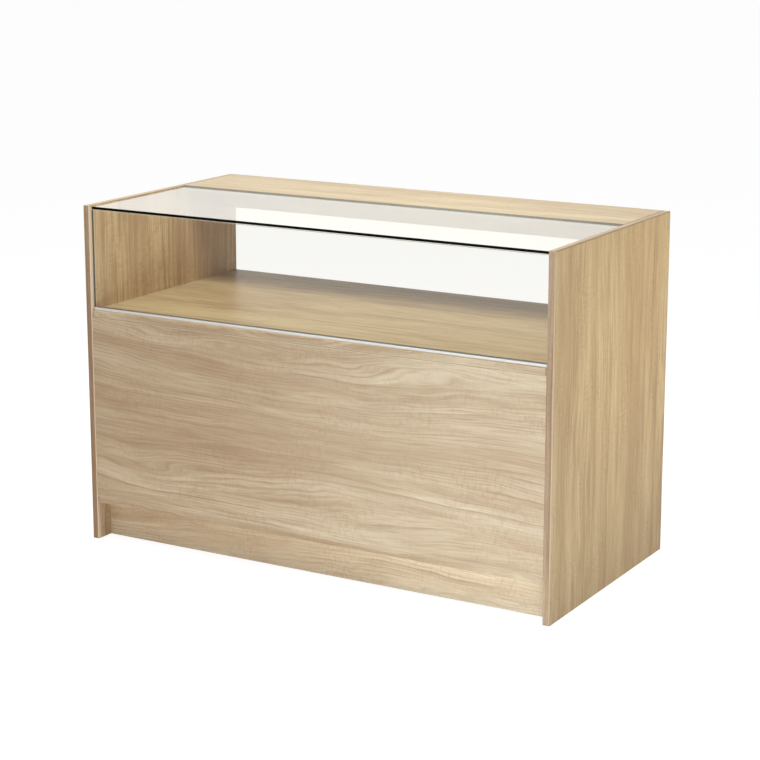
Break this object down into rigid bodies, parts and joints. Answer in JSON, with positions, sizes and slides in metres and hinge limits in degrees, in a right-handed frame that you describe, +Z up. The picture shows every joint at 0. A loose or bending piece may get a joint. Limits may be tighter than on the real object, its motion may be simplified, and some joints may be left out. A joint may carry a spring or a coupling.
{
  "type": "retail display counter",
  "caption": "Half-glazed retail counter in wood decor: recessed plinth, panelled front, display deck under a loose glass top and front pane, staff-side top strip, open rear storage.",
  "frame": {"origin": "on the floor, at the middle of the footprint", "axes": "+X along the width to the customer's right, -Y towards the customer, +Y towards the staff, +Z up"},
  "size_m": [1.2, 0.6, 0.8],
  "materials": {
    "wood_decor": "pale wood-decor laminate, satin",
    "decor_edging": "wood-decor plastic edging, eased",
    "beech": "raw beech",
    "clear_glass": "clear float glass, polished edges",
    "clear_plastic": "clear soft strip",
    "dark_gasket": "dark grey glazing gasket",
    "aluminium": "satin anodised",
    "zinc": "zinc-plated fittings",
    "nickel": "nickel-plated pegs"
  },
  "bodies": {
    "carcass": {"left_side_panel": "wood_decor", "right_side_panel": "wood_decor", "left_front_edging": "decor_edging", "right_front_edging": "decor_edging", "left_top_edging": "decor_edging", "right_top_edging": "decor_edging", "display_deck": "wood_decor", "deck_edging": "decor_edging", "base_panel": "wood_decor", "base_edging": "decor_edging", "front_panel": "wood_decor", "front_plinth": "wood_decor", "rear_plinth": "wood_decor", "top_strip": "wood_decor", "top_rail": "wood_decor", "front_glass": "clear_glass", "glass_seat_strip": "clear_plastic", "glass_channel": "aluminium", "glass_gasket": "dark_gasket", "glass_stud_left_front": "nickel", "glass_stud_left_rear": "nickel", "glass_stud_right_front": "nickel", "glass_stud_right_rear": "nickel", "shelf_pin_left_front": "nickel", "shelf_pin_left_rear": "nickel", "shelf_pin_right_front": "nickel", "shelf_pin_right_rear": "nickel", "cam_lock_deck_left_front": "zinc", "cam_lock_deck_left_rear": "zinc", "cam_lock_deck_right_front": "zinc", "cam_lock_deck_right_rear": "zinc", "cam_lock_base_left_front": "zinc", "cam_lock_base_left_rear": "zinc", "cam_lock_base_right_front": "zinc", "cam_lock_base_right_rear": "zinc", "cam_bolt_deck_left_front": "zinc", "cam_bolt_deck_left_rear": "zinc", "cam_bolt_deck_right_front": "zinc", "cam_bolt_deck_right_rear": "zinc", "cam_bolt_base_left_front": "zinc", "cam_bolt_base_left_rear": "zinc", "cam_bolt_base_right_front": "zinc", "cam_bolt_base_right_rear": "zinc", "dowel_strip_left_front": "beech", "dowel_strip_left_rear": "beech", "dowel_strip_right_front": "beech", "dowel_strip_right_rear": "beech", "dowel_rail_left": "beech", "dowel_rail_right": "beech", "dowel_panel_left_top": "beech", "dowel_panel_left_foot": "beech", "dowel_panel_right_top": "beech", "dowel_panel_right_foot": "beech", "dowel_plinth_left_front": "beech", "dowel_plinth_left_rear": "beech", "dowel_plinth_right_front": "beech", "dowel_plinth_right_rear": "beech"},
    "glass_top": {"top_glass": "clear_glass"},
    "shelf": {"storage_shelf": "wood_decor"}
  },
  "joints": [
    {"name": "top_glass_lift", "type": "slide", "parent": "carcass", "child": "glass_top", "axis": [0, 0, 1], "range_m": [0, 0.12]},
    {"name": "shelf_slide", "type": "slide", "parent": "carcass", "child": "shelf", "axis": [0, 1, 0], "range_m": [0, 0.2]}
  ]
}
